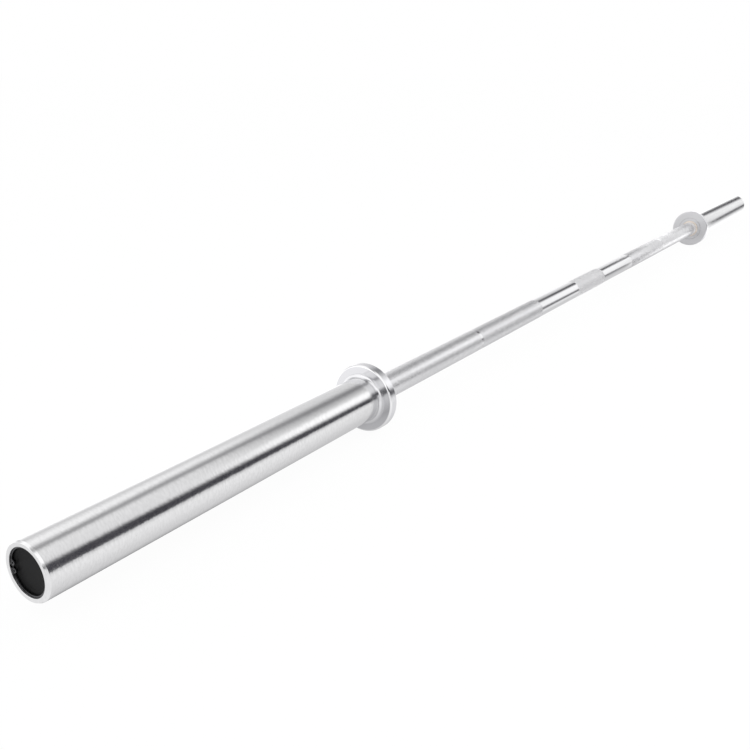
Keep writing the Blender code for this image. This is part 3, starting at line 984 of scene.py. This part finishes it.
# a dark flag low on the camera's side; its top edge drops along the bar, and its levels go
# by the place along it
flag = {
    "top": 31.0, "drop": 8.0, "dropRun": (-0.3, 5.0), "soft": 9.0,
    "from": -4.0, "to": 1.0,
    "levels": [(-4.0, 1.3), (-3.4, 1.3), (-3.0, 0.10), (-2.35, 0.10), (-2.05, 0.30), (-1.75, 0.30),
               (-1.3, 0.05), (1.0, 0.04)],
    # before the bar it stands clear of the floor
    "foot": (12.0, 22.0), "footRun": (-2.35, -2.15, -0.60, -0.40),
}


def studioTunnel(low):
    half, halfTurn = tunnel["halfLength"], 180    # metres, degrees
    strip = bentStrip(-half, half, tunnel["radius"], low, 0, halfTurn, tunnel["steps"])
    mat, net = blank("tunnel_levels")
    along, across = cardPlaces(net)
    levels = levelRamp(net, across, tunnel["behind"], 0, halfTurn)
    for zone, start, end in tunnel["changes"]:
        ramp = levelRamp(net, across, tunnel[zone], 0, halfTurn)
        levels = blend(net, eased(net, along, start, end), levels, ramp)
    dropStart, dropEnd = flag["dropRun"]
    run = net.add("Clamp", None, {"Value": along, "Min": dropStart, "Max": dropEnd})
    height = across * halfTurn + run * flag["drop"] - flag["top"]
    clear = eased(net, height, -flag["soft"], flag["soft"])
    foot = 1 - eased(net, across * halfTurn, *flag["foot"])
    clear = clear | onlyWithin(net, along, flag["footRun"]) * foot
    start, end = flag["from"], flag["to"]
    dark = levelRamp(net, (along - start) / (end - start), flag["levels"], start, end)
    levels = blend(net, clear, dark, levels)
    reflectedOnly("tunnel", strip, net, mat, lightOf(net, levels))


bentTube = {"radius": 0.08, "steps": 24, "margins": (20, 10)}    # margins in degrees
# by angle how much each card hides and its level, the places where it starts, is full, fades
# and ends, and how its angle drops in degrees per metre
bentCards = {
    "gel": {    # a dark gel over the far sleeve
        "hides": [(59, 0), (70, 0.34), (78, 0.74), (84, 0.95), (96, 0.97), (104, 0.90),
                  (113, 0.48), (123, 0)],
        "levels": [(59, 0.03), (123, 0.03)],
        "run": (0.87, 0.90, 2.9, 3.0), "drift": 20.0, "driftFrom": 0.96,
    },
    "veil": {    # a pale veil over the last knurled band but one
        "hides": [(2, 0), (14, 0.6), (150, 0.6), (174, 0)],
        "levels": [(2, 0.70), (60, 0.68), (80, 0.86), (100, 1.14), (174, 1.24)],
        "run": (0.38, 0.44, 0.62, 0.68), "drift": 0.0, "driftFrom": 0.5,
    },
    "shade": {    # a grey one where the last band before the far collar looks
        "hides": [(2, 0), (14, 0.5), (150, 0.5), (174, 0)],
        "levels": [(2, 0.78), (60, 0.72), (174, 0.68)],
        "run": (0.66, 0.71, 0.80, 0.86), "drift": 0.0, "driftFrom": 0.7,
    },
}


def studioBentCard(name, card):
    # part of a tube close round the bar, clear at its edges
    before, after = bentTube["margins"]
    low, high = card["hides"][0][0] - before, card["hides"][-1][0] + after
    strip = bentStrip(card["run"][0], card["run"][-1], bentTube["radius"], 0.0, low, high,
                      bentTube["steps"])
    mat, net = blank(name + "_levels")
    along, across = cardPlaces(net)
    place = across + (along - card["driftFrom"]) * (card["drift"] / (high - low))
    hidden = levelRamp(net, place, card["hides"], low, high)
    hidden = onlyWithin(net, along, card["run"]) * hidden
    glow = lightOf(net, levelRamp(net, place, card["levels"], low, high))
    shader = net.add("MixShader", None, {0: hidden, 1: net.add("BsdfTransparent"), 2: glow})
    reflectedOnly(name, strip, net, mat, shader)


floorCard = {
    "halfLength": 16.0, "back": -1.6, "front": 0.8, "lift": 0.0001,
    # levels by distance across the bar, at seven places along it; the dips close under the bar are a
    # painted shadow of the bar on the floor, seen only in the metal
    "beforeFloor": [(-1.6, 0.80), (-0.5, 0.95), (-0.1, 0.98), (0.0, 0.94), (0.1, 0.90),
                    (0.8, 1.05)],
    "nearFloor": [(-1.6, 0.72), (-0.5, 0.76), (-0.3, 0.82), (-0.2, 0.96), (-0.17, 0.99),
                  (-0.1, 0.96), (-0.06, 0.91), (-0.038, 0.81), (-0.024, 0.74), (-0.011, 0.56),
                  (-0.003, 0.34), (0.006, 0.17), (0.03, 0.13), (0.045, 0.30), (0.065, 0.80),
                  (0.085, 1.12), (0.12, 1.24), (0.3, 1.28), (0.8, 1.25)],
    "waistFloor": [(-1.6, 0.34), (-0.55, 0.34), (-0.28, 0.22), (-0.18, 0.13), (-0.13, 0.24),
                   (-0.098, 0.49), (-0.073, 0.77), (-0.055, 0.80), (-0.04, 0.75), (-0.03, 0.68),
                   (-0.01, 0.69), (0.015, 0.76), (0.045, 0.66), (0.1, 0.66), (0.2, 1.0),
                   (0.8, 1.15)],
    "lateFloor": [(-1.6, 0.34), (-0.55, 0.30), (-0.28, 0.14), (-0.18, 0.14), (-0.13, 0.42),
                  (-0.098, 0.75), (-0.073, 0.93), (-0.055, 0.91), (-0.04, 0.79), (-0.03, 0.69),
                  (-0.01, 0.69), (0.015, 0.76), (0.045, 0.66), (0.1, 0.66), (0.2, 1.0),
                  (0.8, 1.15)],
    "middleFloor": [(-1.6, 0.25), (-0.43, 0.34), (-0.17, 0.28), (-0.1, 0.40), (-0.055, 0.66),
                    (-0.03, 0.70), (-0.01, 0.70), (0.015, 0.76), (0.045, 0.66), (0.1, 0.66),
                    (0.2, 1.0), (0.8, 1.15)],
    "clearFloor": [(-1.6, 1.1), (-0.3, 1.4), (-0.1, 1.5), (-0.06, 1.25), (-0.03, 0.75),
                   (-0.01, 0.66), (0.015, 0.60), (0.1, 0.60), (0.2, 0.9), (0.8, 1.1)],
    "farFloor": [(-1.6, 0.95), (-0.7, 0.75), (-0.43, 0.52), (-0.28, 0.28), (-0.17, 0.10),
                 (-0.12, 0.08), (-0.095, 0.18), (-0.06, 0.62), (-0.04, 0.98),
                 (-0.02, 1.2), (0.8, 1.3)],
    # the last number is how far a change drifts along the bar per metre across it
    "changes": [("nearFloor", -1.100, -1.076, 0.0), ("waistFloor", -1.0, -0.55, 3.0),
                ("lateFloor", -0.68, -0.53, 3.0), ("middleFloor", 0.0, 0.08, 2.3),
                ("clearFloor", 0.17, 0.24, 2.6), ("farFloor", 0.68, 0.74, 3.0)],
}


def studioFloorCard(low):
    back, front = floorCard["back"], floorCard["front"]
    mat, net = blank("floor_shadow_levels")
    along, across = cardPlaces(net)
    aside = net.math("ABSOLUTE", across * (front - back) + back, 0.0)
    levels = levelRamp(net, across, floorCard["beforeFloor"], back, front)
    # the dips under the bar in these levels are a painted shadow of the bar
    for zone, start, end, slant in floorCard["changes"]:
        ramp = levelRamp(net, across, floorCard[zone], back, front)
        levels = blend(net, eased(net, along - aside * slant, start, end), levels, ramp)
    strip = flatStrip(floorCard["halfLength"], back, front, low)
    reflectedOnly("floor_card_painted_shadow", strip, net, mat, lightOf(net, levels))


softBox = {"place": (-0.6, -1.2, 2.2), "size": (2.4, 1.2), "watts": 8.0}


def studioLamp():
    lamp = bpy.data.lights.new("soft_box", "AREA")
    lamp.shape = "RECTANGLE"
    lamp.size, lamp.size_y = softBox["size"]
    lamp.energy = softBox["watts"]
    box = placed("soft_box", lamp)
    box.location = softBox["place"]
    box.rotation_euler = (-Vector(softBox["place"])).to_track_quat("-Z", "Y").to_euler()
    box.visible_glossy = False


print("studio")
studioRoom()
ground = -collar["radius"] - room["floorGap"]
studioFloor(ground)
studioFloorCard(ground + floorCard["lift"])
studioTunnel(ground)
for name, card in bentCards.items():
    studioBentCard(name, card)
studioLamp()

view = {
    "place": (-1.4218, -0.5180, 0.3448),
    "right": (0.5545, -0.8322, 0.0), "up": (0.2729, 0.1819, 0.9447),
    "back": (-0.7862, -0.5238, 0.3280),
    "lens": 42.22, "sensor": 36.0, "clip": (0.01, 100.0),
}
camera = bpy.data.cameras.new("camera")
camera.lens = view["lens"]
camera.sensor_width = view["sensor"]
camera.clip_start, camera.clip_end = view["clip"]
eye = placed("camera", camera)
axes = Matrix((view["right"], view["up"], view["back"])).transposed()
eye.matrix_world = Matrix.Translation(view["place"]) @ axes.to_4x4()
scene.camera = eye
scene.view_settings.view_transform = "Standard"

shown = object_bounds()
print("done")
